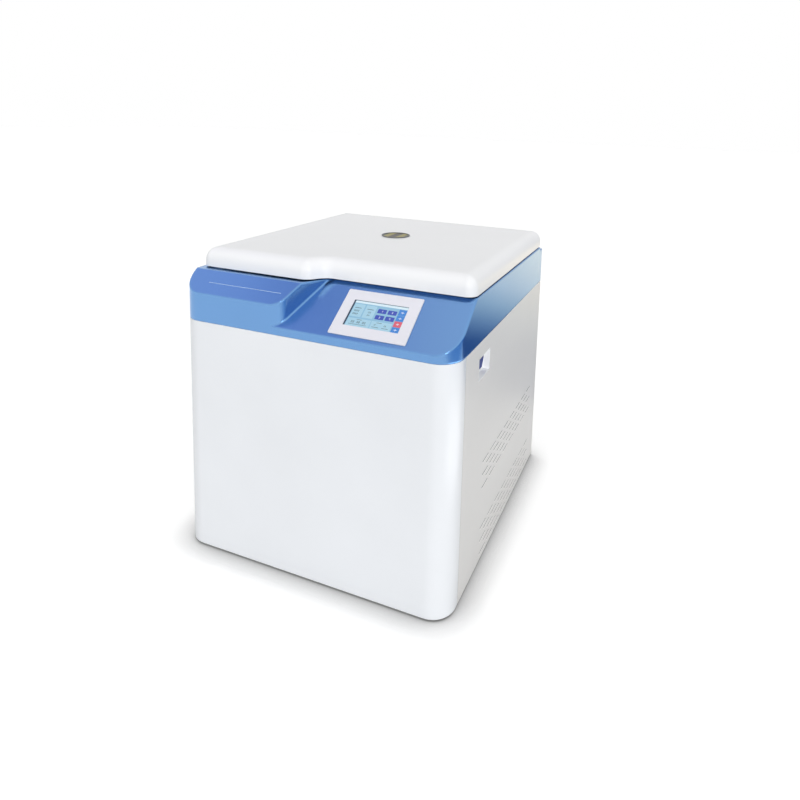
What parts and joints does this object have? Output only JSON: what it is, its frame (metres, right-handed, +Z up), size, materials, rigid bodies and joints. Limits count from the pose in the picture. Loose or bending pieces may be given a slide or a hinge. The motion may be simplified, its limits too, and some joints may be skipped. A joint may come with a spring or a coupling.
{
  "type": "refrigerated centrifuge",
  "caption": "Floor-standing refrigerated centrifuge: white cabinet, blue top collar with a sloped touch panel, hinged lid over a cooled chamber with a swing-out rotor.",
  "frame": {"origin": "on the floor, under the middle of the cabinet", "axes": "+Z up, +X to the right seen from the front, +Y towards the rear; the front faces -Y"},
  "size_m": [0.78, 0.8501, 0.819],
  "materials": {
    "frame_paint": "satin",
    "black_rubber": "matte",
    "grey_rubber": "matte",
    "bare_steel": "satin",
    "stainless": "satin",
    "spring_steel": "satin",
    "front_white": "satin",
    "side_silver": "satin",
    "collar_blue": "gloss",
    "lid_white": "gloss",
    "bezel_white": "matte",
    "screen_face": "gloss",
    "black_plastic": "matte",
    "board_green": "satin",
    "recess_white": "satin",
    "rocker_blue": "gloss",
    "copper": "satin",
    "foam": "matte",
    "sight_grey": "satin",
    "sight_window": "gloss",
    "motor_grey": "satin",
    "rotor_aluminium": "satin",
    "bucket_aluminium": "satin",
    "black_paint": "satin",
    "fin_aluminium": "satin"
  },
  "bodies": {
    "cabinet": {"base_pan": "frame_paint", "foot_pads": "black_rubber", "foot_stems": "bare_steel", "frame_uprights": "frame_paint", "frame_rails": "frame_paint", "chamber_support_plate": "frame_paint", "front_panel": "front_white", "left_side_panel": "side_silver", "right_side_panel": "side_silver", "rear_panel": "side_silver", "panel_screws": "bare_steel", "power_inlet": "black_plastic", "top_collar": "collar_blue", "display_bezel": "bezel_white", "display_screen": "screen_face", "display_module": "black_plastic", "control_board": "board_green", "switch_recess": "recess_white", "chamber_bowl": "stainless", "evaporator_coil": "copper", "chamber_insulation": "foam", "guard_ring": "bare_steel", "chamber_gasket": "grey_rubber", "hinge_brackets": "bare_steel", "hinge_pins": "bare_steel", "hinge_springs": "spring_steel", "lid_lock": "black_plastic", "rubber_dampers": "black_rubber", "motor_plate": "frame_paint", "motor_housing": "motor_grey", "motor_bearings": "bare_steel", "shaft_boot": "black_rubber", "compressor": "black_paint", "compressor_mounts": "black_rubber", "condenser": "fin_aluminium", "fan_shroud": "black_paint", "fan_motor": "black_paint", "refrigerant_pipes": "copper", "filter_drier": "copper", "drive_inverter": "fin_aluminium"},
    "lid": {"lid_shell": "lid_white", "lid_insulation": "foam", "lid_liner": "stainless", "sight_ring": "sight_grey", "sight_glass": "sight_window", "hinge_arms": "bare_steel", "lid_striker": "bare_steel"},
    "lock_bolt": {"lock_bolt": "bare_steel"},
    "power_rocker": {"power_rocker": "rocker_blue"},
    "fan": {"fan_blades": "black_plastic"},
    "rotor": {"drive_shaft": "bare_steel", "rotor_head": "rotor_aluminium", "bucket_pins": "bare_steel", "rotor_nut": "rotor_aluminium"},
    "bucket_1": {"bucket_1": "bucket_aluminium"},
    "bucket_2": {"bucket_2": "bucket_aluminium"},
    "bucket_3": {"bucket_3": "bucket_aluminium"},
    "bucket_4": {"bucket_4": "bucket_aluminium"}
  },
  "joints": [
    {"name": "lid_hinge", "type": "hinge", "parent": "cabinet", "child": "lid", "pos_m": [0, 0.407, 0.775], "axis": [-1, 0, 0], "range_deg": [0, 80], "stiffness_Nm_per_rad": 24, "springref_deg": 100.27},
    {"name": "lock_bolt_slide", "type": "slide", "parent": "cabinet", "child": "lock_bolt", "axis": [-1, 0, 0], "range_m": [0, 0.016]},
    {"name": "power_rocker_tilt", "type": "hinge", "parent": "cabinet", "child": "power_rocker", "pos_m": [0.366, -0.185, 0.562], "axis": [0, 1, 0], "range_deg": [-16, 0]},
    {"name": "fan_spin", "type": "hinge", "parent": "cabinet", "child": "fan", "pos_m": [0.3095, 0.055, 0.1425], "axis": [1, 0, 0], "continuous": true},
    {"name": "rotor_spin", "type": "hinge", "parent": "cabinet", "child": "rotor", "pos_m": [0, 0.075, 0.64], "axis": [0, 0, 1], "continuous": true},
    {"name": "bucket_1_swing", "type": "hinge", "parent": "rotor", "child": "bucket_1", "pos_m": [0.112, 0.075, 0.64], "axis": [0, -1, 0], "range_deg": [-5, 90]},
    {"name": "bucket_2_swing", "type": "hinge", "parent": "rotor", "child": "bucket_2", "pos_m": [0, 0.187, 0.64], "axis": [1, 0, 0], "range_deg": [-5, 90]},
    {"name": "bucket_3_swing", "type": "hinge", "parent": "rotor", "child": "bucket_3", "pos_m": [-0.112, 0.075, 0.64], "axis": [0, 1, 0], "range_deg": [-5, 90]},
    {"name": "bucket_4_swing", "type": "hinge", "parent": "rotor", "child": "bucket_4", "pos_m": [0, -0.037, 0.64], "axis": [-1, 0, 0], "range_deg": [-5, 90]}
  ]
}
